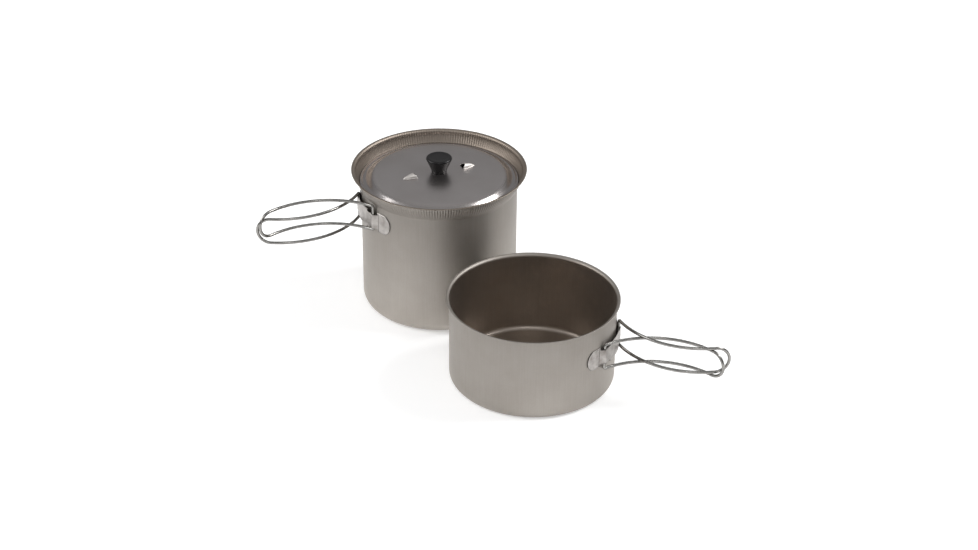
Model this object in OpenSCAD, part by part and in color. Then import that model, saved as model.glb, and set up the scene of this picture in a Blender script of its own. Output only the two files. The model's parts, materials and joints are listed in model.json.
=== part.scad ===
// Nesting camping cook set: a tall pot with a lid, and a short pot that stands beside it.
// Each pot has one stamped hinge bracket that carries two folding wire handles.
// Units are millimetres. The origin is the centre of the tall pot's base, on the ground. Z is up.

/* [Sheet] */
// Thickness of the sheet the pots and the lid are pressed from
wall_t = 0.5; // [0.3:0.05:1.2]

/* [Tall pot] */
// Outer radius of the straight wall
tall_r = 64; // [50:0.5:80]
// Height at which the fluted flare begins
tall_wall_h = 106.4; // [80:0.1:140]
// Radius of the bend between the base and the wall
tall_corner_r = 9; // [4:0.5:15]
// Rise of the conical flare
flare_h = 8.6; // [4:0.1:15]
// How far the conical flare spreads outward
flare_w = 4.3; // [2:0.1:8]
// Rise of the steep collar above the flare
collar_h = 2.75; // [1:0.05:6]
// How far the collar spreads outward
collar_w = 0.7; // [0:0.1:3]
// Inside radius of the bend that turns the rim outward
rim_bend_r = 2; // [1:0.1:4]
// Flat width of the turned-out rim
rim_flat_w = 0.7; // [0.2:0.1:4]

/* [Short pot] */
// Outer radius of the straight wall
short_r = 65.5; // [50:0.5:80]
// Height of the pot, rim included
short_h = 71; // [40:0.5:110]
// Radius of the bend between the base and the wall
short_corner_r = 5; // [3:0.5:15]
// Inside radius of the rolled rim
short_rim_bend_r = 2.2; // [1:0.1:4]
// Flat width of the rolled rim
short_rim_flat_w = 0.3; // [0.2:0.1:4]

/* [Lid] */
// Radius of the lid's edge
lid_r = 65; // [50:0.5:80]
// Height of the flange's top face above the ground
lid_seat_z = 110.4; // [90:0.1:130]
// Radius where the flange meets the raised step
lid_step_r = 60; // [40:0.5:75]
// Radius of the raised plateau
plateau_r = 55; // [35:0.5:70]
// Rise of the plateau's edge above the flange
plateau_rise = 4; // [1:0.1:8]
// Extra rise of the plateau at its centre
crown_rise = 2.4; // [0.5:0.1:6]
// Distance from the knob's axis to the middle of each steam vent
vent_pitch_r = 26; // [15:0.5:45]
// Bearing of the steam vents
vent_angle = 24.2; // [0:0.1:180]
// Length of each steam vent
vent_len = 11; // [6:0.5:16]
// Width of a vent's mouth
vent_w = 7; // [4:0.5:12]
// Height of a vent's mouth
vent_h = 3; // [1.5:0.1:5]

/* [Knob] */
// Radius of the knob at its top
knob_top_r = 10.7; // [6:0.1:16]
// Radius of the knob at its base
knob_base_r = 6.3; // [4:0.1:12]
// Height of the knob
knob_h = 13.3; // [8:0.1:20]
// Rounding of the knob's top edge
knob_edge_r = 1.6; // [0.5:0.1:4]
// Radius of the screw shank
screw_r = 2; // [1.5:0.1:3]
// Outer radius of the threaded insert
insert_r = 3.2; // [2.5:0.1:5]
// Length of the threaded insert
insert_len = 8.5; // [5:0.5:11]

/* [Hinge brackets] */
// Thickness of the stamped sheet
sheet_t = 0.4; // [0.3:0.1:1]
// Distance between the two hinge axes on a bracket
pivot_spacing = 34; // [20:0.5:40]
// Distance from the pot's wall to the hinge axes
pivot_offset = 1.9; // [1.8:0.05:4]
// Half height of the rolled corners that hold the hinge pins
knuckle_half_h = 6.4; // [5:0.1:10]
// Distance along the wall from a hinge axis to the full-height part of the web
web_setback = 7; // [4:0.5:12]
// Half height of the stamped sheet
plate_half_h = 8.5; // [7:0.1:12]
// Radius of each ear's rounded end
ear_nose_r = 9.8; // [9:0.1:14]
// Width of each ear along the wall
ear_w = 13; // [8:0.5:18]
// Distance along the wall from a hinge axis to the foot of the fold
fold_reach = 4.6; // [2.5:0.1:6]
// Bearing of the tall pot's bracket
tall_bracket_angle = 202.9; // [0:0.1:360]
// Height of the middle of the tall pot's bracket
tall_bracket_z = 92.5; // [60:0.1:110]
// Bearing of the short pot's bracket
short_bracket_angle = -21.2; // [-180:0.1:180]
// Height of the middle of the short pot's bracket
short_bracket_z = 42.2; // [25:0.1:60]
// Radius of a weld spot
weld_r = 1.3; // [0.8:0.1:2]

/* [Wire handles] */
// Radius of the handle wire
wire_r = 1.2; // [1:0.05:2]
// Radial running clearance of the wire in the hinge bore
bore_clearance = 0.06; // [0.01:0.01:0.1]
// Radius of the long sideways curve of each handle
handle_curve_r = 66.5; // [55:0.5:120]
// Straight length of each leg before its long curve
handle_straight = 1.5; // [1:0.5:30]
// Half the distance between the two legs of one handle
leg_half_gap = 10.75; // [9:0.1:14]
// Radius of the bend between a leg and its hinge pin
elbow_r = 1.6; // [1.5:0.1:4]
// Straight length of each hinge pin
pin_len = 7.5; // [5:0.5:8]
// Height of the middle of a handle pair above the middle of its bracket
handle_rise = 0.5; // [-1:0.1:2]
// Height difference between the tall pot's two handles
tall_handle_step = 4.6; // [2.6:0.1:5]
// Height difference between the short pot's two handles
short_handle_step = 3; // [2.6:0.1:5]
// Bearing of the tall pot's near handle where it leaves its hinge
tall_near_angle = 152; // [100:0.1:300]
// Bearing of the tall pot's far handle where it leaves its hinge
tall_far_angle = 250; // [100:0.1:300]
// Bearing of the short pot's near handle where it leaves its hinge
short_near_angle = 30.4; // [-90:0.1:90]
// Bearing of the short pot's far handle where it leaves its hinge
short_far_angle = -64.3; // [-90:0.1:90]

/* [Placement] */
// Position of the short pot across
short_x = 76; // [-200:0.5:200]
// Position of the short pot in depth
short_y = -119.4; // [-200:0.5:200]

/* [Hidden] */
$fn = 96;
eps = 0.01;
rim_z = tall_wall_h + flare_h + collar_h;
collar_r = tall_r + flare_w + collar_w;
crown_z = lid_seat_z + plateau_rise + crown_rise;
crown_r = (pow(plateau_r, 2) + pow(crown_rise, 2)) / (2 * crown_rise);
seat_drop = 0.03;
knob_z = crown_z - seat_drop;
screw_hole_r = screw_r + 0.2;
washer_t = 0.8;
washer_r = 5;
head_r = 3.8;
head_h = 2.4;
socket_r = 1.45;
socket_depth = 1.4;
insert_groove = 0.25;
bore_r = wire_r + bore_clearance;
knuckle_r = bore_r + sheet_t - bore_clearance;
pin_chamfer = 0.3;
sweep_cos = 0.28;
sweep_sin = 0.96;
weld_sink = 0.06;
weld_gap = 0.04;
web_drop = 0.35;
skin_drop = 0.04;
tall_pivot_r = tall_r + pivot_offset;
short_pivot_r = short_r + pivot_offset;
steel = [0.78, 0.77, 0.75];
titanium = [0.62, 0.6, 0.57];
pale_titanium = [0.72, 0.71, 0.69];
black = [0.07, 0.07, 0.07];
brass = [0.75, 0.62, 0.35];

function half_angle(r) = asin(pivot_spacing / 2 / r);
function polar(r, a) = [r * cos(a), r * sin(a)];

// Half section of a solid cup: flat base, rounded corner, straight wall
module cup_section(r, corner, z0, z1) {
    translate([0, z0]) square([r - corner, z1 - z0]);
    translate([0, z0 + corner]) square([r, z1 - z0 - corner]);
    translate([r - corner, z0 + corner]) circle(r = corner);
}

// Half section of a rim turned outward through a quarter bend
module rim_section(r, z, bend_r, flat_w) {
    translate([r + bend_r, z]) {
        intersection() {
            difference() {
                circle(r = bend_r + wall_t);
                circle(r = bend_r);
            }
            translate([-bend_r - wall_t, 0]) square(bend_r + wall_t);
        }
        translate([0, bend_r]) square([flat_w, wall_t]);
    }
}

module tall_pot() {
    color(titanium) rotate_extrude() {
        difference() {
            cup_section(tall_r, tall_corner_r, 0, tall_wall_h);
            cup_section(tall_r - wall_t, tall_corner_r - wall_t, wall_t, tall_wall_h + 1);
        }
        polygon([[tall_r, tall_wall_h], [tall_r + flare_w, tall_wall_h + flare_h], [collar_r, rim_z],
            [collar_r - wall_t, rim_z], [tall_r + flare_w - wall_t, tall_wall_h + flare_h],
            [tall_r - wall_t, tall_wall_h]]);
        rim_section(collar_r, rim_z, rim_bend_r, rim_flat_w);
    }
}

module short_pot() {
    rim_foot = short_h - short_rim_bend_r - wall_t;
    color(titanium) translate([short_x, short_y, 0]) rotate_extrude() {
        difference() {
            cup_section(short_r, short_corner_r, 0, rim_foot);
            cup_section(short_r - wall_t, short_corner_r - wall_t, wall_t, rim_foot + 1);
        }
        rim_section(short_r, rim_foot, short_rim_bend_r, short_rim_flat_w);
    }
}

// Half section of everything under the lid's domed plateau, lowered by d
module crown_section(d) {
    intersection() {
        translate([0, crown_z - crown_r]) circle(r = crown_r - d, $fn = 720);
        translate([0, lid_seat_z - wall_t]) square([plateau_r, crown_z - seat_drop - d - lid_seat_z + wall_t]);
    }
}

module lid_section() {
    difference() {
        crown_section(0);
        crown_section(wall_t);
        translate([0, lid_seat_z - 1]) square([plateau_r + 1, plateau_rise + 1 - wall_t]);
    }
    polygon([[plateau_r - eps, lid_seat_z + plateau_rise], [lid_step_r, lid_seat_z], [lid_r, lid_seat_z],
        [lid_r, lid_seat_z - wall_t], [lid_step_r - wall_t, lid_seat_z - wall_t],
        [plateau_r - eps, lid_seat_z + plateau_rise - wall_t]]);
}

// A steam vent: a half-round hood that tapers away from the knob
module vent_frame() {
    tilt = asin(vent_pitch_r / crown_r);
    rotate([0, 0, vent_angle]) translate([0, 0, crown_z - crown_r])
        rotate([0, tilt, 0]) translate([-vent_len / 2, 0, crown_r]) children();
}

module vent_cone(d) {
    translate([0, 0, vent_h - vent_w / 2]) rotate([0, 90, 0])
        cylinder(h = vent_len - d, r1 = vent_w / 2 - d, r2 = 1 - d / 2);
}

module lid_plate() {
    color(pale_titanium) difference() {
        union() {
            rotate_extrude() lid_section();
            for (side = [0, 180]) rotate([0, 0, side]) vent_frame() intersection() {
                vent_cone(0);
                translate([0, -vent_w, -wall_t / 2]) cube([vent_len, 2 * vent_w, vent_w]);
            }
        }
        for (side = [0, 180]) rotate([0, 0, side]) vent_frame() translate([-wall_t / 2, 0, 0]) vent_cone(wall_t);
        translate([0, 0, lid_seat_z]) cylinder(h = knob_h, r = screw_hole_r);
    }
}

module lid_knob() {
    shoulder = knob_h - knob_edge_r;
    color(black) translate([0, 0, knob_z]) difference() {
        rotate_extrude() {
            polygon([[0, 0], [knob_base_r, 0], [knob_top_r, shoulder], [knob_top_r - knob_edge_r, shoulder],
                [knob_top_r - knob_edge_r, knob_h], [0, knob_h]]);
            translate([knob_top_r - knob_edge_r, shoulder]) circle(r = knob_edge_r);
        }
        translate([0, 0, -1]) cylinder(h = insert_len + 1, r = insert_r);
    }
}

module knob_insert() {
    color(brass) translate([0, 0, knob_z]) difference() {
        cylinder(h = insert_len, r = insert_r);
        translate([0, 0, -1]) cylinder(h = insert_len + 2, r = screw_r + bore_clearance);
        translate([0, 0, insert_len * 0.4]) difference() {
            cylinder(h = insert_len * 0.2, r = insert_r + 1);
            translate([0, 0, -1]) cylinder(h = insert_len, r = insert_r - insert_groove);
        }
    }
}

module lid_washer() {
    color(steel) translate([0, 0, knob_z - wall_t - washer_t]) difference() {
        cylinder(h = washer_t, r = washer_r);
        translate([0, 0, -1]) cylinder(h = washer_t + 2, r = screw_hole_r);
    }
}

module lid_screw() {
    head_z = knob_z - wall_t - washer_t;
    color(steel) difference() {
        union() {
            translate([0, 0, head_z - head_h]) cylinder(h = head_h, r = head_r);
            translate([0, 0, head_z - eps]) cylinder(h = knob_z + insert_len - 1 - head_z, r = screw_r);
        }
        translate([0, 0, head_z - head_h - 1]) cylinder(h = socket_depth + 1, r = socket_r, $fn = 6);
    }
}

// Part of a flat ring one sheet thick, with inner radius r, from bearing a0 to a1
module ring_plan(r, a0, a1) {
    intersection() {
        difference() {
            circle(r = r + sheet_t);
            circle(r = r);
        }
        polygon([[0, 0], polar(3 * r, a0), polar(3 * r, a1)]);
    }
}

// The places of the four weld spots of a bracket, each with its axis along X, on the wall
module weld_places(r) {
    foot = foot_bearing(r);
    for (side = [-1, 1], level = [-1, 1])
        rotate([0, 0, side * (foot + 0.38 * ear_w / r * 180 / PI)]) translate([r, 0, level * 0.42 * plate_half_h])
            rotate([0, 90, 0]) children();
}

// Bearings of a bracket's hinge axis and of the foot of its fold, on a wall of radius r
function hinge_bearing(r) = half_angle(r + pivot_offset);
function foot_bearing(r) = hinge_bearing(r) + fold_reach / r * 180 / PI;

// Plan of a stamped bracket: an ear, a fold and a rolled corner on each side, joined by the web
module bracket_plan(r) {
    pivot_a = hinge_bearing(r);
    foot_a = foot_bearing(r);
    pivot = polar(r + pivot_offset, pivot_a);
    mid_t = sheet_t / 2;
    foot = polar(r + mid_t, foot_a);
    reach = norm(pivot - foot);
    skin_r = knuckle_r - mid_t - skin_drop;
    fold_a = atan2(pivot[1] - foot[1], pivot[0] - foot[0]) + asin(skin_r / reach);
    difference() {
        union() {
            ring_plan(r + pivot_offset + knuckle_r - web_drop - sheet_t, -pivot_a, pivot_a);
            for (side = [0, 1]) mirror([0, side]) {
                ring_plan(r, foot_a - sheet_t / r * 180 / PI, foot_a + ear_w / r * 180 / PI);
                translate(pivot) circle(r = knuckle_r);
                translate(foot) rotate(fold_a) translate([0, -mid_t])
                    square([sqrt(pow(reach, 2) - pow(skin_r, 2)), sheet_t]);
            }
        }
        for (side = [0, 1]) mirror([0, side]) translate(pivot) circle(r = bore_r);
    }
}

// A stamped bracket on a wall of radius r, centred on bearing 0 and height 0
module bracket(r) {
    foot_a = foot_bearing(r);
    web_a = hinge_bearing(r) - web_setback / r * 180 / PI;
    nose_a = foot_a + (ear_w - ear_nose_r) / r * 180 / PI;
    color(steel) difference() {
        translate([0, 0, -plate_half_h]) linear_extrude(2 * plate_half_h) bracket_plan(r);
        for (side = [0, 1], level = [0, 1]) mirror([0, side, 0]) mirror([0, 0, level])
            translate([0, 0, knuckle_half_h]) linear_extrude(plate_half_h)
                polygon([polar(r / 2, web_a), polar(2 * r, web_a), polar(2 * r, foot_a), polar(r / 2, foot_a)]);
        for (side = [0, 1]) mirror([0, side, 0]) rotate([0, 0, nose_a]) difference() {
            translate([r / 2, 0, -ear_nose_r]) cube([r, 2 * ear_nose_r, 2 * ear_nose_r]);
            rotate([0, 90, 0]) cylinder(h = 2 * r, r = ear_nose_r);
        }
        weld_places(r) translate([0, 0, -sheet_t]) cylinder(h = 3 * sheet_t, r = weld_r);
    }
}

module bracket_welds(r) {
    color(titanium) intersection() {
        weld_places(r) translate([0, 0, -sheet_t]) cylinder(h = 3 * sheet_t, r = weld_r - weld_gap);
        rotate_extrude() translate([r, -2 * plate_half_h]) square([sheet_t - weld_sink, 4 * plate_half_h]);
    }
}

module tall_bracket() {
    translate([0, 0, tall_bracket_z]) rotate([0, 0, tall_bracket_angle]) bracket(tall_r);
}

module short_bracket() {
    translate([short_x, short_y, short_bracket_z]) rotate([0, 0, short_bracket_angle]) bracket(short_r);
}

module tall_bracket_welds() {
    translate([0, 0, tall_bracket_z]) rotate([0, 0, tall_bracket_angle]) bracket_welds(tall_r);
}

module short_bracket_welds() {
    translate([short_x, short_y, short_bracket_z]) rotate([0, 0, short_bracket_angle]) bracket_welds(short_r);
}

// A wire bent through an arc about Z: centre line radius r, from bearing a0, through angle a
module wire_arc(r, a0, a) {
    rotate([0, 0, a0]) rotate_extrude(angle = a) translate([r, 0]) circle(r = wire_r);
}

// The long curve of a leg: a full ring of wire cut to the sweep by a wedge, starting along X from the origin
module leg_arc() {
    reach = 2 * handle_curve_r;
    translate([0, handle_curve_r, 0]) rotate([0, 0, -90]) intersection() {
        rotate([0, 0, 180]) rotate_extrude() translate([handle_curve_r, 0]) circle(r = wire_r);
        translate([0, 0, -2 * wire_r]) linear_extrude(4 * wire_r)
            polygon([[0, 0], [reach, 0], [reach, reach * sweep_sin], [reach * sweep_cos, reach * sweep_sin]]);
    }
}

// One handle: hinge axis at the origin, leaving along X, curving toward +Y when side = 1
module wire_handle(side) {
    root = elbow_r + handle_straight;
    color(steel) mirror([0, side > 0 ? 0 : 1, 0]) {
        for (level = [0, 1]) mirror([0, 0, level]) {
            translate([0, 0, leg_half_gap - elbow_r - pin_len]) cylinder(h = pin_len, r = wire_r);
            translate([0, 0, leg_half_gap - elbow_r - pin_len - pin_chamfer])
                cylinder(h = pin_chamfer, r1 = wire_r - pin_chamfer, r2 = wire_r);
            translate([elbow_r, 0, leg_half_gap - elbow_r]) rotate([90, 0, 0]) wire_arc(elbow_r, 90, 90);
            translate([elbow_r, 0, leg_half_gap]) rotate([0, 90, 0]) cylinder(h = handle_straight, r = wire_r);
            translate([root, 0, leg_half_gap]) leg_arc();
        }
        translate([root + handle_curve_r * sweep_sin, handle_curve_r * (1 - sweep_cos), 0])
            rotate([0, 0, atan2(sweep_sin, sweep_cos)]) rotate([90, 0, 0]) wire_arc(leg_half_gap, -90, 180);
    }
}

// A handle in its place: side = 1 is the hinge at the larger bearing, which holds the upper handle
module placed_handle(centre, pivot_r, bracket_a, bracket_z, step, side, heading) {
    at = centre + polar(pivot_r, bracket_a + side * half_angle(pivot_r));
    translate([at[0], at[1], bracket_z + handle_rise + side * step / 2])
        rotate([0, 0, heading]) wire_handle(side);
}

module tall_near_handle() {
    placed_handle([0, 0], tall_pivot_r, tall_bracket_angle, tall_bracket_z,
        tall_handle_step, 1, tall_near_angle);
}

module tall_far_handle() {
    placed_handle([0, 0], tall_pivot_r, tall_bracket_angle, tall_bracket_z,
        tall_handle_step, -1, tall_far_angle);
}

module short_near_handle() {
    placed_handle([short_x, short_y], short_pivot_r, short_bracket_angle, short_bracket_z,
        short_handle_step, -1, short_near_angle);
}

module short_far_handle() {
    placed_handle([short_x, short_y], short_pivot_r, short_bracket_angle, short_bracket_z,
        short_handle_step, 1, short_far_angle);
}

tall_pot();
short_pot();
lid_plate();
lid_knob();
knob_insert();
lid_screw();
lid_washer();
tall_bracket();
short_bracket();
tall_bracket_welds();
short_bracket_welds();
tall_near_handle();
tall_far_handle();
short_near_handle();
short_far_handle();
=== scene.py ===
"""Looks for the nesting camping cook set: drawn metal pots, a vented lid, wire handles and hinge brackets.

Lengths in the shape code are millimetres in the row frame; multiplying by MM gives metres.
"""

import json
import math

import bpy
import numpy as np
from mathutils import Matrix, Vector

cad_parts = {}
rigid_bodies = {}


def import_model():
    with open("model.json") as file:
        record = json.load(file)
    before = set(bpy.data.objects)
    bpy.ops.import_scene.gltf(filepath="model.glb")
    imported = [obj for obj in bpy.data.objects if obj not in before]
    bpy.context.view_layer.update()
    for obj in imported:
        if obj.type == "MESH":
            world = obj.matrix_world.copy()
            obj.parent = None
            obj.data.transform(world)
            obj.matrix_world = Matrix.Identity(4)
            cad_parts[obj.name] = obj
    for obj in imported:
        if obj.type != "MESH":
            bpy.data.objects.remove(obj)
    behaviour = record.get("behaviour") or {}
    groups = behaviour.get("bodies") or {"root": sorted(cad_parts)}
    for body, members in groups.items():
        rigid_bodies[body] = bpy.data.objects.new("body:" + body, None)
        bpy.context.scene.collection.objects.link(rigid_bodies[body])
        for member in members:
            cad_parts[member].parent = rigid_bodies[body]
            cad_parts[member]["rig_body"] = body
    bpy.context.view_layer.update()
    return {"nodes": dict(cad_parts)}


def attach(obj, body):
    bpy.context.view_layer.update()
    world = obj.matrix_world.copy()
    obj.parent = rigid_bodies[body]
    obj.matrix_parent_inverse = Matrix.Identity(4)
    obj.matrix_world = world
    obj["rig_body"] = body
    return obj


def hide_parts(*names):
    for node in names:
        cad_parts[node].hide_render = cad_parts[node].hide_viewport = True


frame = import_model()

MM = 0.001
SHORT_CENTRE = (76.0, -119.4)
SHEET = 0.5
WIRE_R = 1.19
LID_AXIS_Z = 116.77
PIN_HALF_GAP = 17.0    # half the distance between a pair's two hinge axes
PIVOT_OFFSET = 1.9     # from a pot's wall to the hinge axes
TALL_WALL, TALL_BEARING, TALL_MID_Z = 64.0, 202.9, 92.5
SHORT_WALL, SHORT_BEARING, SHORT_MID_Z = 65.5, -21.2, 42.2


# ---------------------------------------------------------------- shape helpers

def arc(cx, cz, r, a0, a1, n):
    """n + 1 points on an arc in the (radius, height) plane, angles in degrees."""
    return [(cx + r * math.cos(math.radians(a0 + (a1 - a0) * i / n)),
             cz + r * math.sin(math.radians(a0 + (a1 - a0) * i / n))) for i in range(n + 1)]


def line(p, q, n):
    """n + 1 evenly spaced points from p to q."""
    return [(p[0] + (q[0] - p[0]) * i / n, p[1] + (q[1] - p[1]) * i / n) for i in range(n + 1)]


def spline(points, n):
    """A Catmull-Rom curve through the points, n steps to each span."""
    p = [points[0]] + list(points) + [points[-1]]
    out = []
    for i in range(1, len(p) - 2):
        a, b, c, d = (np.array(q, float) for q in p[i - 1:i + 3])
        for k in range(n):
            t = k / n
            out.append(tuple(0.5 * (2 * b + (c - a) * t + (2 * a - 5 * b + 4 * c - d) * t ** 2
                                    + (3 * b - a - 3 * c + d) * t ** 3)))
    return out + [tuple(points[-1])]


def new_object(name, verts, faces, materials, sharp=35.0):
    """A mesh object from millimetre vertices, smooth except at edges sharper than the angle."""
    mesh = bpy.data.meshes.new(name)
    mesh.from_pydata([tuple(c * MM for c in v) for v in verts], [], faces)
    mesh.validate()
    for m in materials:
        mesh.materials.append(m)
    mesh.polygons.foreach_set("use_smooth", [True] * len(mesh.polygons))
    mesh.set_sharp_from_angle(angle=math.radians(sharp))
    mesh.update()
    obj = bpy.data.objects.new(name, mesh)
    bpy.context.scene.collection.objects.link(obj)
    return obj


def lathe(name, profile, segments, materials, centre=(0.0, 0.0), ripple=None, kind=None, sharp=35.0):
    """Spins a (radius, height) profile round a vertical axis. Points on the axis become a single vertex.

    ripple(r, z, angles) gives a radial offset at each angle; kind(row) gives the material index of the band
    after that row.
    """
    angles = np.arange(segments) * 2 * math.pi / segments
    verts, rows = [], []
    for r, z in profile:
        if r < 1e-6:
            rows.append([len(verts)])
            verts.append((centre[0], centre[1], z))
            continue
        offset = ripple(r, z, angles) if ripple else 0 * angles
        rows.append(list(range(len(verts), len(verts) + segments)))
        for a, d in zip(angles, offset):
            verts.append((centre[0] + (r + d) * math.cos(a), centre[1] + (r + d) * math.sin(a), z))
    faces, index = [], []
    for i in range(len(rows) - 1):
        lo, hi = rows[i], rows[i + 1]
        if len(lo) == 1 and len(hi) == 1:
            continue
        for j in range(segments):
            k = (j + 1) % segments
            if len(lo) == 1:
                faces.append((lo[0], hi[k], hi[j]))
            elif len(hi) == 1:
                faces.append((lo[j], lo[k], hi[0]))
            else:
                faces.append((lo[j], lo[k], hi[k], hi[j]))
            index.append(kind(i) if kind else 0)
    obj = new_object(name, verts, faces, materials, sharp)
    obj.data.polygons.foreach_set("material_index", index)
    return obj


WIRE_CHAMFER = 0.3


def sweep(name, points, radius, sides, materials):
    """A round wire along the points, with chamfered ends."""
    pts = [Vector(p) for p in points]
    n = len(pts)
    tangents = [(pts[min(i + 1, n - 1)] - pts[max(i - 1, 0)]).normalized() for i in range(n)]
    normal = tangents[0].orthogonal().normalized()
    rings, verts = [], []

    def ring(at, u, v, r):
        rings.append(len(verts))
        for k in range(sides):
            a = 2 * math.pi * k / sides
            verts.append(tuple(at + (u * math.cos(a) + v * math.sin(a)) * r))

    for i, (p, t) in enumerate(zip(pts, tangents)):
        normal = (normal - t * normal.dot(t)).normalized()
        side = t.cross(normal)
        if i == 0:
            ring(p - t * WIRE_CHAMFER, normal, side, radius - WIRE_CHAMFER)
        ring(p, normal, side, radius)
        if i == n - 1:
            ring(p + t * WIRE_CHAMFER, normal, side, radius - WIRE_CHAMFER)
    faces = []
    for a, b in zip(rings, rings[1:]):
        for k in range(sides):
            m = (k + 1) % sides
            faces.append((a + k, a + m, b + m, b + k))
    faces.append(tuple(rings[0] + k for k in reversed(range(sides))))
    faces.append(tuple(rings[-1] + k for k in range(sides)))
    return new_object(name, verts, faces, materials, 40.0)


# ---------------------------------------------------------------- materials

class Nodes:
    """A short way to write a material's node tree."""

    def __init__(self, name):
        self.mat = bpy.data.materials.new(name)
        self.mat.use_nodes = True
        self.tree = self.mat.node_tree
        self.bsdf = self.tree.nodes["Principled BSDF"]

    def add(self, kind, inputs=None, **settings):
        node = self.tree.nodes.new(kind)
        for k, v in settings.items():
            setattr(node, k, v)
        for k, v in (inputs or {}).items():
            self.put(node.inputs[k], v)
        return node

    def put(self, socket, value):
        if isinstance(value, bpy.types.NodeSocket):
            self.tree.links.new(value, socket)
        else:
            socket.default_value = value

    def math(self, op, a, b=0.0):
        return self.add("ShaderNodeMath", {0: a, 1: b}, operation=op).outputs[0]

    def coords(self, centre=(0.0, 0.0), scale=(1.0, 1.0, 1.0)):
        tex = self.add("ShaderNodeTexCoord").outputs["Object"]
        return self.add("ShaderNodeMapping", {
            "Vector": tex, "Scale": scale,
            "Location": (-centre[0] * MM * scale[0], -centre[1] * MM * scale[1], 0.0)}).outputs[0]

    def radius_angle(self, centre):
        xyz = self.add("ShaderNodeSeparateXYZ", {0: self.coords(centre)})
        x, y, z = xyz.outputs
        r = self.math("SQRT", self.math("ADD", self.math("MULTIPLY", x, x), self.math("MULTIPLY", y, y)))
        return r, self.math("ARCTAN2", y, x), z

    def noise(self, vector, scale, detail=3.0, rough=0.55):
        return self.add("ShaderNodeTexNoise", {"Vector": vector, "Scale": scale, "Detail": detail,
                                               "Roughness": rough}).outputs["Fac"]

    def ramp(self, fac, stops):
        node = self.add("ShaderNodeValToRGB", {"Fac": fac})
        e = node.color_ramp.elements
        while len(e) < len(stops):
            e.new(0.5)
        for item, (pos, col) in zip(e, stops):
            item.position = pos
            item.color = (*col, 1.0)
        return node.outputs[0]

    def span(self, fac, low, high):
        return self.add("ShaderNodeMapRange", {"Value": fac, "From Min": 0.25, "From Max": 0.75,
                                               "To Min": low, "To Max": high}).outputs[0]

    def combine(self, x, y, z):
        return self.add("ShaderNodeCombineXYZ", {0: x, 1: y, 2: z}).outputs[0]

    def bump(self, height, strength, distance, normal=None):
        inputs = {"Height": height, "Strength": strength, "Distance": distance}
        if normal is not None:
            inputs["Normal"] = normal
        return self.add("ShaderNodeBump", inputs).outputs[0]

    def finish(self, **inputs):
        for k, v in inputs.items():
            self.put(self.bsdf.inputs[k.replace("_", " ")], v)
        return self.mat


def mix_pair(dark, light):
    """Ramp stops that span the middle half of a noise, where most of its values lie."""
    return [(0.25, dark), (0.75, light)]


def pot_metal(name, centre, dark, light, rough, streak=0.35, painted_light_fade=(0.0, 1.0, 0.1, 1.0)):
    """Satin drawn metal: faint upright draw streaks, fine blasted grain and slow patches of tone.

    fade gives painted light by height: (low height, tone there, high height, tone there), in metres; the
    colour is scaled from the low tone to the high one, lighter near the base and darker towards the rim.
    """
    n = Nodes(name)
    r, angle, z = n.radius_angle(centre)
    tall = n.combine(n.math("MULTIPLY", angle, 60.0), n.math("MULTIPLY", z, 25.0), 0.0)
    streaks = n.noise(tall, 1.0, 4.0)
    patches = n.noise(n.coords(centre), 28.0, 4.0, 0.6)
    grain = n.noise(n.coords(centre), 2600.0, 2.0)
    tone = n.math("ADD", n.math("MULTIPLY", patches, 1.0 - streak), n.math("MULTIPLY", streaks, streak))
    normal = n.bump(grain, 0.22, 0.00012)
    normal = n.bump(streaks, 0.10, 0.0003, normal)
    # painted light: the colour is scaled by height, lighter near the base for the floor's light and darker
    # higher up for the shade under the flare
    level = n.add("ShaderNodeMapRange", {"Value": z, "From Min": painted_light_fade[0], "From Max": painted_light_fade[2],
                                         "To Min": painted_light_fade[1], "To Max": painted_light_fade[3]}).outputs[0]
    colour = n.add("ShaderNodeVectorMath", {0: n.ramp(tone, mix_pair(dark, light)), "Scale": level},
                   operation="SCALE").outputs[0]
    return n.finish(Base_Color=colour, Metallic=1.0,
                    Roughness=n.span(grain, rough - 0.05, rough + 0.06), Normal=normal)


# the lid's painted shade: between these radii the shoulder's colour darkens
SHOULDER_FROM, SHOULDER_TO = 0.0530, 0.0555    # radii in metres where the lid's tone goes over


def spun_metal(name, dark, light, rough):
    """Lid metal: fine concentric turning lines, light mottling, a satin face, and painted shade: the
    shoulder ring's colour is darkened by 22 per cent, where its drawn polish also lowers the roughness.
    """
    n = Nodes(name)
    r, angle, z = n.radius_angle((0.0, 0.0))
    rings = n.combine(n.math("MULTIPLY", r, 2600.0), n.math("MULTIPLY", angle, 1.5), 0.0)
    lines = n.noise(rings, 1.0, 4.0, 0.7)
    patches = n.noise(n.coords(), 35.0, 4.0)
    grain = n.noise(n.coords(), 3000.0, 2.0)
    tone = n.math("ADD", n.math("MULTIPLY", patches, 0.7), n.math("MULTIPLY", lines, 0.3))
    normal = n.bump(lines, 0.10, 0.00006)
    normal = n.bump(grain, 0.12, 0.0001, normal)
    # painted shade: this ring mask darkens the shoulder's colour by 22 per cent below; it also lowers the
    # roughness there for the drawn polish
    polish_and_painted_shade = n.add("ShaderNodeMapRange", {"Value": r, "From Min": SHOULDER_FROM,
                                         "From Max": SHOULDER_TO}).outputs[0]
    level = n.math("SUBTRACT", 1.0, n.math("MULTIPLY", polish_and_painted_shade, 0.22))
    colour = n.add("ShaderNodeVectorMath", {0: n.ramp(tone, mix_pair(dark, light)), "Scale": level},
                   operation="SCALE").outputs[0]
    sheen = n.math("SUBTRACT", n.span(lines, rough - 0.04, rough + 0.05), n.math("MULTIPLY", polish_and_painted_shade, 0.10))
    return n.finish(Base_Color=colour, Metallic=1.0, Roughness=sheen, Normal=normal)


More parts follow.
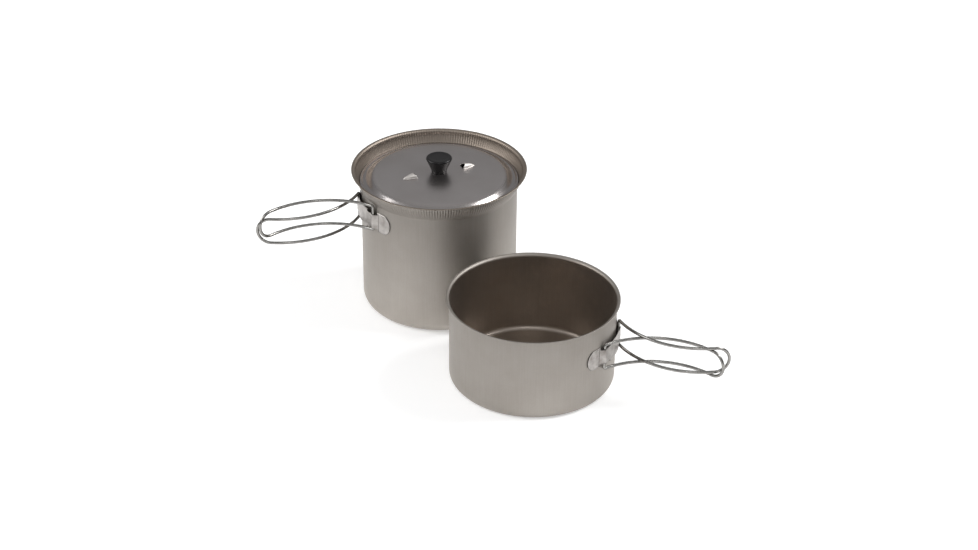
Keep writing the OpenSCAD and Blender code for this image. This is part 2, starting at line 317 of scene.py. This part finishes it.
def plain_metal(name, dark, light, rough, grain_scale=1800.0, depth=0.12):
    """Small metal parts: fine pitting, handling marks and uneven polish."""
    n = Nodes(name)
    grain = n.noise(n.coords(), grain_scale, 3.0)
    patches = n.noise(n.coords(), 160.0, 4.0)
    return n.finish(Base_Color=n.ramp(patches, mix_pair(dark, light)), Metallic=1.0,
                    Roughness=n.span(patches, rough - 0.06, rough + 0.08),
                    Normal=n.bump(grain, depth, 0.0001))


def wire_metal(name, dark, light, rough):
    """Drawn wire: fine lines and faint dull patches."""
    n = Nodes(name)
    patches = n.noise(n.coords(), 220.0, 5.0)
    fine = n.noise(n.coords((0, 0), (1.0, 1.0, 12.0)), 900.0, 3.0)
    return n.finish(Base_Color=n.ramp(patches, mix_pair(dark, light)), Metallic=1.0,
                    Roughness=n.span(patches, rough - 0.05, rough + 0.09), Normal=n.bump(fine, 0.08, 0.0001),
                    Specular_Tint=(0.12, 0.12, 0.12, 1.0))


def moulded_plastic(name, dark, light, rough):
    """Dense black moulded plastic: a fine spark grain and slightly rubbed tone."""
    n = Nodes(name)
    grain = n.noise(n.coords(), 1500.0, 3.0)
    rub = n.noise(n.coords(), 180.0, 4.0)
    return n.finish(Base_Color=n.ramp(rub, mix_pair(dark, light)),
                    Roughness=n.span(rub, rough - 0.06, rough + 0.08),
                    Normal=n.bump(grain, 0.14, 0.0001), Specular_IOR_Level=0.25)


TITANIUM_OUT = ((0.340, 0.312, 0.282), (0.405, 0.378, 0.348))
TITANIUM_IN = ((0.235, 0.198, 0.165), (0.300, 0.258, 0.222))
# the short pot's inside tint is the tall pot's inside tint made about 1.27 times lighter: painted light for
# its brighter inside
SHORT_IN_PAINTED_LIGHT = ((0.300, 0.258, 0.222), (0.372, 0.326, 0.288))
# a darker copy of the wall tint for the outer flare: painted shade between its flutes
TITANIUM_FLARE_SHADE = ((0.250, 0.228, 0.205), (0.320, 0.296, 0.270))
# the outer walls carry painted light by height: 1.25 times the tone near the base down to 0.76 at the flare
# on the tall pot, 1.03 down to 0.84 on the short pot
tall_out = pot_metal("tall_titanium", (0.0, 0.0), *TITANIUM_OUT, 0.55, painted_light_fade=(0.005, 1.25, 0.105, 0.76))
tall_flare_shade = pot_metal("tall_titanium_flare_shade", (0.0, 0.0), *TITANIUM_FLARE_SHADE, 0.50)
tall_in = pot_metal("tall_titanium_inside", (0.0, 0.0), *TITANIUM_IN, 0.46)
short_out = pot_metal("short_titanium", SHORT_CENTRE, *TITANIUM_OUT, 0.55, painted_light_fade=(0.005, 1.03, 0.070, 0.84))
short_in_painted_light = pot_metal("short_titanium_inside_painted_light", SHORT_CENTRE, *SHORT_IN_PAINTED_LIGHT, 0.42)
lid_metal = spun_metal("lid_titanium", (0.38, 0.353, 0.343), (0.45, 0.425, 0.42), 0.33)
bracket_metal = plain_metal("bracket_metal", (0.21, 0.19, 0.175), (0.52, 0.495, 0.475), 0.40)
# near-black metal on the bracket sheet's cut edges and the crease by the fold: painted shadow of the gap
# under the ear's edge and painted shade in the fold's valley
crease_and_edge_painted_shade = plain_metal("bracket_edge_painted_shade", (0.045, 0.040, 0.036), (0.10, 0.09, 0.08), 0.5)
weld_metal = plain_metal("weld_metal", (0.36, 0.33, 0.31), (0.50, 0.47, 0.44), 0.42, 1200.0, 0.3)
wire = wire_metal("wire", (0.24, 0.232, 0.220), (0.38, 0.372, 0.356), 0.20)
black = moulded_plastic("knob_black", (0.004, 0.0035, 0.004), (0.009, 0.008, 0.0085), 0.32)
# the raised vents get a lighter copy of the lid metal: painted highlight for the light they catch
vent_painted_highlight = plain_metal("vent_painted_highlight", (0.46, 0.43, 0.41), (0.70, 0.67, 0.64), 0.50, 900.0, 0.4)
brass = plain_metal("brass_insert", (0.62, 0.45, 0.18), (0.74, 0.56, 0.26), 0.30)
steel = plain_metal("fastener_steel", (0.48, 0.47, 0.46), (0.62, 0.61, 0.60), 0.28)


def fix(obj, body, slot, *nodes):
    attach(obj, body)
    if nodes:
        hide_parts(*nodes)
    return obj


# ---------------------------------------------------------------- tall pot

FLUTES = 200
FLUTE_SEGMENTS = 6


def flute(r, z, angles):
    """Radial waves of the fluted flare: deepest near the rim, faded out towards the wall."""
    rise = min(max((z - 107.5) / 8.0, 0.0), 1.0) ** 0.8
    fall = min(max((120.6 - z) / 2.6, 0.0), 1.0)
    calm = min(max((71.0 - r) / 1.5, 0.0), 1.0)
    return 0.20 * rise * fall * calm * np.cos(FLUTES * angles)


flare = spline([(64.0, 105.6), (64.15, 106.6), (65.2, 108.8), (66.1, 110.4), (67.0, 112.2), (68.3, 115.0),
                (68.85, 116.6), (69.0, 117.75)], 3)
outer = (line((0.0, 0.0), (55.0, 0.0), 5) + arc(55.0, 9.0, 9.0, -90, 0, 10)[1:]
         + line((64.0, 9.0), (64.0, 105.6), 6)[1:-1] + flare
         + arc(71.0, 117.75, 2.0, 180, 90, 6)[1:] + [(71.44, 119.75)])
inner = (arc(71.0, 117.75, 2.5, 90, 180, 6) + [(r - SHEET, z) for r, z in reversed(flare[:-1])]
         + line((63.5, 105.6), (63.5, 9.0), 6)[1:] + arc(55.0, 9.0, 8.5, 0, -90, 8)[1:]
         + line((55.0, 0.5), (0.0, 0.5), 4)[1:])
edge = arc(71.44, 120.0, 0.25, -90, 90, 4)[1:]
profile = outer + edge + inner
# from here up, the outer flare takes the darker flare material, painted shade
flare_from = next(i for i, (r, z) in enumerate(outer) if z > 105.5)
inside_from = len(outer) - 1
tall_pot = lathe("tall_pot_shell", profile, FLUTES * FLUTE_SEGMENTS, [tall_out, tall_in, tall_flare_shade],
                 ripple=flute, sharp=50.0,
                 kind=lambda i: 1 if i >= inside_from else 2 if i >= flare_from else 0)
fix(tall_pot, frame["nodes"]["tall_pot"]["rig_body"], "titanium", "tall_pot")


# ---------------------------------------------------------------- short pot

outer = (line((0.0, 0.0), (60.5, 0.0), 5) + arc(60.5, 5.0, 5.0, -90, 0, 8)[1:]
         + line((65.5, 5.0), (65.5, 68.3), 8)[1:] + arc(67.7, 68.3, 2.2, 180, 90, 8)[1:])
edge = arc(67.75, 70.75, 0.25, -90, 90, 4)
inner = (arc(67.7, 68.3, 2.7, 90, 180, 8) + line((65.0, 68.3), (65.0, 5.0), 8)[1:]
         + arc(60.5, 5.0, 4.5, 0, -90, 8)[1:] + line((60.5, 0.5), (0.0, 0.5), 6)[1:])
profile = outer + edge + inner
inside_from = len(outer) + len(edge) + 5
short_pot = lathe("short_pot_shell", profile, 360, [short_out, short_in_painted_light], SHORT_CENTRE,
                  kind=lambda i: 1 if i >= inside_from else 0, sharp=50.0)
fix(short_pot, frame["nodes"]["short_pot"]["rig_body"], "titanium", "short_pot")


# ---------------------------------------------------------------- lid

LID_SEGMENTS = 480
CROWN_Z, CROWN_RISE, PLATEAU_R = 116.8, 2.4, 55.0
VENT_MOUTH_R, VENT_LENGTH, VENT_BEARING = 20.5, 11.0, 24.2
VENT_STEPS, VENT_RISE, VENT_HALF_W = 34, 3.1, 3.7
VENT_LEAN = 2.0        # how far the top of a vent's mouth leans outwards
# faces raised above this height take the lighter vent material: painted highlight
VENT_HIGHLIGHT_FROM = 0.25    # height above which the lid counts as a vent, for its material


def vent_height(r, angles):
    """Height of the two half-round steam vents above the lid's face."""
    u = min(max((r - VENT_MOUTH_R) / VENT_LENGTH, 0.0), 1.0)
    half_width = VENT_HALF_W * (1.0 - u ** 1.3) ** 0.75 + 1e-6
    rise = VENT_RISE * (1.0 - u ** 2.0) ** 0.6
    out = 0 * angles
    for side in (0.0, 180.0):
        d = (angles - math.radians(VENT_BEARING + side) + math.pi) % (2 * math.pi) - math.pi
        v = np.clip(np.abs(r * np.sin(d)) / half_width, 0.0, 1.0)
        out = np.maximum(out, np.where(np.abs(d) < 0.6, rise * (1.0 - v ** 2) ** 0.6, 0.0))
    return out


def crown(r):
    return CROWN_Z - CROWN_RISE * (r / PLATEAU_R) ** 2


top = [(r, crown(r)) for r in (2.3, 6.0, 9.0, 12.0, 15.0, 17.0, 18.5, 19.5, 20.1)]
vents = [(r, crown(r)) for r in (VENT_MOUTH_R + VENT_LENGTH * i / VENT_STEPS for i in range(VENT_STEPS + 2))]
shoulder = spline([(52.2, crown(52.2)), (53.6, 114.42), (54.7, 114.05), (55.7, 113.45), (57.2, 112.25),
                   (58.6, 111.15), (59.4, 110.68), (60.3, 110.44), (61.2, 110.4)], 3)
rest = ([(r, crown(r)) for r in (34.0, 37.0, 41.0, 45.0, 48.0, 50.5)] + shoulder
        + [(61.9, 110.4), (62.15, 110.52), (62.4, 110.6), (62.65, 110.52), (62.9, 110.4), (63.7, 110.4),
           (63.95, 110.3), (64.2, 110.4), (64.7, 110.4), (64.95, 110.28)])
angles = np.arange(LID_SEGMENTS) * 2 * math.pi / LID_SEGMENTS
verts, rows, lift_at = [], [], []
for i, (r, z) in enumerate(top + vents[:1] + vents + rest):
    lift = vent_height(r, angles) if i > len(top) else 0 * angles
    lift_at.append(lift)
    rows.append(len(verts))
    lean = VENT_LEAN * max(1.0 - max(r - VENT_MOUTH_R, 0.0) / VENT_LENGTH, 0.0) ** 2
    leaned = r + lean * (lift / VENT_RISE) ** 2
    verts += [(q * math.cos(a), q * math.sin(a), z + h) for q, a, h in zip(leaned, angles, lift)]
# outside the vents' mouths the doubled ring is one ring
mouth = len(top)
same = vent_height(VENT_MOUTH_R, angles) < 1e-6
faces, vent_highlight_index = [], []
for i in range(len(rows) - 1):
    if i == mouth:
        continue
    for j in range(LID_SEGMENTS):
        k = (j + 1) % LID_SEGMENTS
        lo = [rows[i] + j, rows[i] + k]
        if i == mouth + 1:
            lo = [rows[mouth] + m if same[m] else rows[i] + m for m in (j, k)]
        faces.append((lo[1], lo[0], rows[i + 1] + j, rows[i + 1] + k))
        # raised vent faces get index 1, the lighter vent material, a painted highlight
        raised = mouth < i <= mouth + len(vents) and max(lift_at[i][j], lift_at[i][k]) > VENT_HIGHLIGHT_FROM
        vent_highlight_index.append(1 if raised else 0)
used = sorted({v for f in faces for v in f})
index = {v: i for i, v in enumerate(used)}
lid = new_object("lid_shell", [verts[v] for v in used], [tuple(index[v] for v in f) for f in faces],
                 [lid_metal, vent_painted_highlight], 55.0)
lid.data.polygons.foreach_set("material_index", vent_highlight_index)
solid = lid.modifiers.new("sheet", "SOLIDIFY")
solid.thickness = SHEET * MM
solid.offset = -1.0
fix(lid, frame["nodes"]["lid_plate"]["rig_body"], "lid_titanium", "lid_plate")


# ---------------------------------------------------------------- knob

KNOB = [(6.0, 0.0), (6.2, 0.35), (6.3, 1.6), (6.75, 2.8), (7.6, 4.9), (8.7, 7.4), (9.75, 9.8), (10.45, 11.3)]
# the blind bore for the insert, the foot, the flared side, the rounded edge and the dished top
knob_profile = ([(0.0, 8.4), (3.3, 8.4), (3.3, 0.0), (5.9, 0.0)] + spline(KNOB, 4)
                + arc(9.1, 11.7, 1.6, 8, 90, 8)
                + [(8.2, 13.3), (7.4, 13.12), (5.0, 13.05), (2.5, 13.02), (0.0, 13.0)])
knob = lathe("knob_body", [(r, z + LID_AXIS_Z) for r, z in knob_profile], 128, [black], sharp=60.0)
fix(knob, frame["nodes"]["lid_knob"]["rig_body"], "knob_black", "lid_knob")


# ---------------------------------------------------------------- wire handles

CURVE_R, ROOT, LEG_GAP, ELBOW_R, PIN = 66.5, 1.5, 10.75, 1.6, 7.5
SWEEP = math.atan2(0.96, 0.28)
RISE = 0.5
WIRE_SIDES = 24


def handle_path(pivot, z, heading, side):
    """Centre line of a handle: pin, elbow, leg, long curve, end bend and back, in the row frame."""
    start = ELBOW_R + ROOT
    half = [(0.0, 0.0, LEG_GAP - ELBOW_R - PIN + PIN * i / 3) for i in range(3)]
    half += [(ELBOW_R - ELBOW_R * math.cos(a), 0.0, LEG_GAP - ELBOW_R + ELBOW_R * math.sin(a))
             for a in np.linspace(0, math.pi / 2, 9)]
    half += [(start + CURVE_R * math.sin(a), CURVE_R * (1 - math.cos(a)), LEG_GAP)
             for a in np.linspace(0, SWEEP, 61)]
    end = half[-1]
    tip = [(end[0] + LEG_GAP * math.sin(a) * math.cos(SWEEP),
            end[1] + LEG_GAP * math.sin(a) * math.sin(SWEEP),
            LEG_GAP * math.cos(a)) for a in np.linspace(0, math.pi, 41)[1:-1]]
    local = half + tip + [(x, y, -zz) for x, y, zz in reversed(half)]
    turn = Matrix.Rotation(math.radians(heading), 3, "Z")
    return [tuple(turn @ Vector((x, y * side, zz)) + Vector((pivot[0], pivot[1], z))) for x, y, zz in local]


def make_handle(node, centre, wall, bearing, mid_z, step, side, heading):
    """One wire handle; step is the height between a pair, side is 1 or -1 along the bracket."""
    pivot_r = wall + PIVOT_OFFSET
    a = math.radians(bearing) + side * math.asin(PIN_HALF_GAP / pivot_r)
    pivot = (centre[0] + pivot_r * math.cos(a), centre[1] + pivot_r * math.sin(a))
    path = handle_path(pivot, mid_z + RISE + side * step / 2, heading, side)
    obj = sweep(node + "_wire", path, WIRE_R, WIRE_SIDES, [wire])
    return fix(obj, frame["nodes"][node]["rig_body"], "wire", node)


TALL_HINGES = ((0.0, 0.0), TALL_WALL, TALL_BEARING, TALL_MID_Z, 4.6)
SHORT_HINGES = (SHORT_CENTRE, SHORT_WALL, SHORT_BEARING, SHORT_MID_Z, 3.0)
make_handle("tall_near_handle", *TALL_HINGES, 1, 152.0)
make_handle("tall_far_handle", *TALL_HINGES, -1, 250.0)
make_handle("short_near_handle", *SHORT_HINGES, -1, 30.4)
make_handle("short_far_handle", *SHORT_HINGES, 1, -64.3)


# ---------------------------------------------------------------- hinge brackets

PIN_MID_R, WEB_RISE, EAR_W, NOSE_R = 1.44, 2.95, 13.0, 9.8
PLATE_H, KNUCKLE_H, FOLD_REACH, WEB_SETBACK, SHEET_HALF = 8.5, 6.4, 4.6, 7.0, 0.2
BRACKET_ROWS = 10
WELD_SIDES = 24


def make_bracket(node, centre, wall, bearing, mid_z):
    """One stamped sheet: ear, crease, fold, roll over the hinge pin, web, then the same mirrored."""
    pivot_a = math.asin(PIN_HALF_GAP / (wall + PIVOT_OFFSET))
    foot_a = pivot_a + FOLD_REACH / wall
    web_a = pivot_a - WEB_SETBACK / wall

    def at(r, a):
        return np.array((r * math.cos(a), r * math.sin(a)))

    # stations: (plan point, half height, painted-shade crease after this station)
    half = []
    nose = EAR_W - NOSE_R
    for d in list(EAR_W - 0.4 * (np.linspace(0.0, 1.0, 6) ** 2)) + list(np.linspace(12.3, 0.6, 26)):
        h = math.sqrt(max(NOSE_R ** 2 - (d - nose) ** 2, 0.04)) if d > nose else NOSE_R
        lift = 0.30 * (max(d - 6.5, 0.0) / 6.5) ** 2
        half.append((at(wall + 0.24 + lift, foot_a + d / wall), min(h, PLATE_H), False))
    foot = at(wall + 0.22, foot_a)
    pivot = at(wall + PIVOT_OFFSET, pivot_a)
    reach = np.linalg.norm(pivot - foot)
    fold_a = math.atan2(*(pivot - foot)[::-1]) + math.asin(PIN_MID_R / reach)
    along = np.array((math.cos(fold_a), math.sin(fold_a)))
    run = math.sqrt(reach ** 2 - PIN_MID_R ** 2)
    half.append((at(wall + 0.21, foot_a + 0.22 / wall), PLATE_H, True))
    half.append((foot + along * 0.22, PLATE_H, False))
    half.append((foot + along * 0.7, PLATE_H, False))
    half.append((foot + along * 0.75, KNUCKLE_H, False))
    half += [(foot + along * run * t, KNUCKLE_H, False) for t in (0.45, 0.75)]
    # over the pin, from the fold's tangent point to where the web leaves it
    start = fold_a + math.pi / 2
    web_mid = wall + WEB_RISE
    leave = pivot_a - math.acos((WEB_RISE - PIVOT_OFFSET) / PIN_MID_R) * 0.96
    for t in np.linspace(0.0, 1.0, 11):
        ang = start + (leave - start) * t
        half.append((pivot + PIN_MID_R * np.array((math.cos(ang), math.sin(ang))), KNUCKLE_H, False))
    first = math.atan2(half[-1][0][1], half[-1][0][0])
    half += [(at(web_mid, first + (web_a - first) * t), KNUCKLE_H, False) for t in (0.15, 0.55, 0.98)]
    half += [(at(web_mid, web_a * t), PLATE_H, False) for t in (1.0, 0.8, 0.6, 0.4, 0.2, 0.0)]
    stations = half + [(p * np.array((1, -1)), h, half[i - 1][2] if i else False)
                       for i, (p, h, _) in reversed(list(enumerate(half[:-1])))]
    turn = math.radians(bearing)
    verts, faces, index = [], [], []
    for p, h, _ in stations:
        x = centre[0] + p[0] * math.cos(turn) - p[1] * math.sin(turn)
        y = centre[1] + p[0] * math.sin(turn) + p[1] * math.cos(turn)
        verts += [(x, y, mid_z - h + 2 * h * k / BRACKET_ROWS) for k in range(BRACKET_ROWS + 1)]
    width = BRACKET_ROWS + 1
    for i in range(len(stations) - 1):
        for k in range(BRACKET_ROWS):
            a = i * width + k
            faces.append((a, a + 1, a + width + 1, a + width))
            index.append(1 if stations[i][2] else 0)
    obj = new_object(node + "_sheet", verts, faces, [bracket_metal, crease_and_edge_painted_shade], 28.0)
    obj.data.polygons.foreach_set("material_index", index)
    solid = obj.modifiers.new("sheet", "SOLIDIFY")
    solid.thickness = 2 * SHEET_HALF * MM
    solid.offset = 0.0
    # the cut edges take the near-black material: painted shadow of the gap under the ear
    solid.material_offset_rim = 1
    return fix(obj, frame["nodes"][node]["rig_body"], "bracket_metal", node)


def make_welds(node, centre, wall, bearing, mid_z):
    """Four spot welds: shallow pressed dimples with a raised lip, on the outer faces of the ears."""
    # (radius, height above the ear's face)
    section = [(0.0, -0.05), (0.45, -0.04), (0.75, 0.03), (1.0, 0.09), (1.2, 0.05), (1.3, -0.12)]
    foot_a = math.asin(PIN_HALF_GAP / (wall + PIVOT_OFFSET)) + FOLD_REACH / wall
    verts, faces = [], []
    for side in (-1, 1):
        for level in (-1, 1):
            a = math.radians(bearing) + side * (foot_a + 0.38 * EAR_W / wall)
            out = Vector((math.cos(a), math.sin(a), 0.0))
            along, up = Vector((-math.sin(a), math.cos(a), 0.0)), Vector((0.0, 0.0, 1.0))
            at = Vector((centre[0], centre[1], mid_z + level * 0.42 * PLATE_H)) + out * (wall + 0.45)
            base = len(verts)
            verts.append(tuple(at + out * section[0][1]))
            for r, h in section[1:]:
                for k in range(WELD_SIDES):
                    t = 2 * math.pi * k / WELD_SIDES
                    verts.append(tuple(at + out * h + (along * math.cos(t) + up * math.sin(t)) * r))
            last = len(verts) - WELD_SIDES
            verts.append(tuple(at + out * section[-1][1]))
            for k in range(WELD_SIDES):
                m = (k + 1) % WELD_SIDES
                faces.append((base, base + 1 + k, base + 1 + m))
                faces.append((last + WELD_SIDES, last + m, last + k))
                for i in range(len(section) - 2):
                    p = base + 1 + WELD_SIDES * i
                    q = p + WELD_SIDES
                    faces.append((p + k, q + k, q + m, p + m))
    obj = new_object(node + "_spots", verts, faces, [weld_metal], 60.0)
    return fix(obj, frame["nodes"][node]["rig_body"], "weld_metal", node)


make_welds("tall_bracket_welds", (0.0, 0.0), TALL_WALL, TALL_BEARING, TALL_MID_Z)
make_welds("short_bracket_welds", SHORT_CENTRE, SHORT_WALL, SHORT_BEARING, SHORT_MID_Z)
make_bracket("tall_bracket", (0.0, 0.0), TALL_WALL, TALL_BEARING, TALL_MID_Z)
make_bracket("short_bracket", SHORT_CENTRE, SHORT_WALL, SHORT_BEARING, SHORT_MID_Z)


# ---------------------------------------------------------------- carried-over CAD pieces

for node, material in (("knob_insert", brass), ("lid_screw", steel), ("lid_washer", steel)):
    data = frame["nodes"][node].data
    data.materials.clear()
    data.materials.append(material)


# ---------------------------------------------------------------- stage, light and camera

def area(name, at, target, size, energy):
    """A soft rectangular light that faces the target."""
    light = bpy.data.lights.new(name, "AREA")
    light.shape = "RECTANGLE"
    light.size, light.size_y = size
    light.energy = energy
    obj = bpy.data.objects.new(name, light)
    bpy.context.scene.collection.objects.link(obj)
    obj.location = at
    obj.rotation_euler = (Vector(target) - Vector(at)).to_track_quat("-Z", "Y").to_euler()


FLOOR = 6.0              # half the floor's side, in metres
FLOOR_DROP = -0.00005    # keeps the floor just under the pots' bases
floor_mesh = bpy.data.meshes.new("floor")
floor_mesh.from_pydata([(-FLOOR, -FLOOR, 0), (FLOOR, -FLOOR, 0), (FLOOR, FLOOR, 0), (-FLOOR, FLOOR, 0)], [],
                       [(0, 1, 2, 3)])
floor = bpy.data.objects.new("floor", floor_mesh)
bpy.context.scene.collection.objects.link(floor)
n = Nodes("floor_paper")
paper = n.ramp(n.noise(n.coords(), 3.0), mix_pair((0.78, 0.78, 0.78), (0.80, 0.80, 0.80)))
floor_mesh.materials.append(n.finish(Base_Color=paper, Roughness=0.9, Specular_IOR_Level=0.1,
                                     Emission_Color=(1.0, 1.0, 1.0, 1.0), Emission_Strength=0.34))
floor.location.z = FLOOR_DROP

world = bpy.data.worlds.new("studio")
world.use_nodes = True
tree = world.node_tree
tree.nodes.clear()
out = tree.nodes.new("ShaderNodeOutputWorld")
# light from the surroundings by height, dark at the horizon; the camera itself sees plain white
direction = tree.nodes.new("ShaderNodeTexCoord")
split = tree.nodes.new("ShaderNodeSeparateXYZ")
tree.links.new(direction.outputs["Generated"], split.inputs[0])
height = tree.nodes.new("ShaderNodeValToRGB")
tree.links.new(split.outputs[2], height.inputs[0])
ramp = height.color_ramp
ramp.elements[0].position, ramp.elements[0].color = 0.0, (0.16, 0.16, 0.163, 1.0)
ramp.elements[1].position, ramp.elements[1].color = 1.0, (0.55, 0.55, 0.55, 1.0)
for place, level in ((0.28, 0.33), (0.58, 0.43)):
    ramp.elements.new(place).color = (level, level, level * 1.01, 1.0)
studio = tree.nodes.new("ShaderNodeBackground")
tree.links.new(height.outputs[0], studio.inputs["Color"])
studio.inputs["Strength"].default_value = 1.0
plain = tree.nodes.new("ShaderNodeBackground")
plain.inputs["Color"].default_value = (1.0, 1.0, 1.0, 1.0)
path = tree.nodes.new("ShaderNodeLightPath")
mix = tree.nodes.new("ShaderNodeMixShader")
tree.links.new(path.outputs["Is Camera Ray"], mix.inputs[0])
tree.links.new(studio.outputs[0], mix.inputs[1])
tree.links.new(plain.outputs[0], mix.inputs[2])
tree.links.new(mix.outputs[0], out.inputs["Surface"])
bpy.context.scene.world = world
bpy.context.scene.view_settings.view_transform = "Standard"

LOOK_AT = (0.04, -0.06, 0.05)
area("right_box", (1.20, 0.16, 1.25), LOOK_AT, (0.7, 0.5), 20.0)
area("left_box", (-1.35, -0.20, 0.98), LOOK_AT, (1.1, 0.7), 16.0)
area("front_box", (0.15, -1.25, 1.45), LOOK_AT, (0.5, 0.35), 3.0)

camera = bpy.data.objects.new("camera", bpy.data.cameras.new("camera"))
bpy.context.scene.collection.objects.link(camera)
camera.data.sensor_width = 36.0
camera.data.lens = 73.62
camera.data.clip_end = 20.0
camera.location = (0.04152, -1.44666, 0.87879)
camera.rotation_euler = (Matrix.Rotation(math.radians(59.27), 3, "X")
                         @ Matrix.Rotation(math.radians(0.55), 3, "Z")).to_euler()
bpy.context.scene.camera = camera
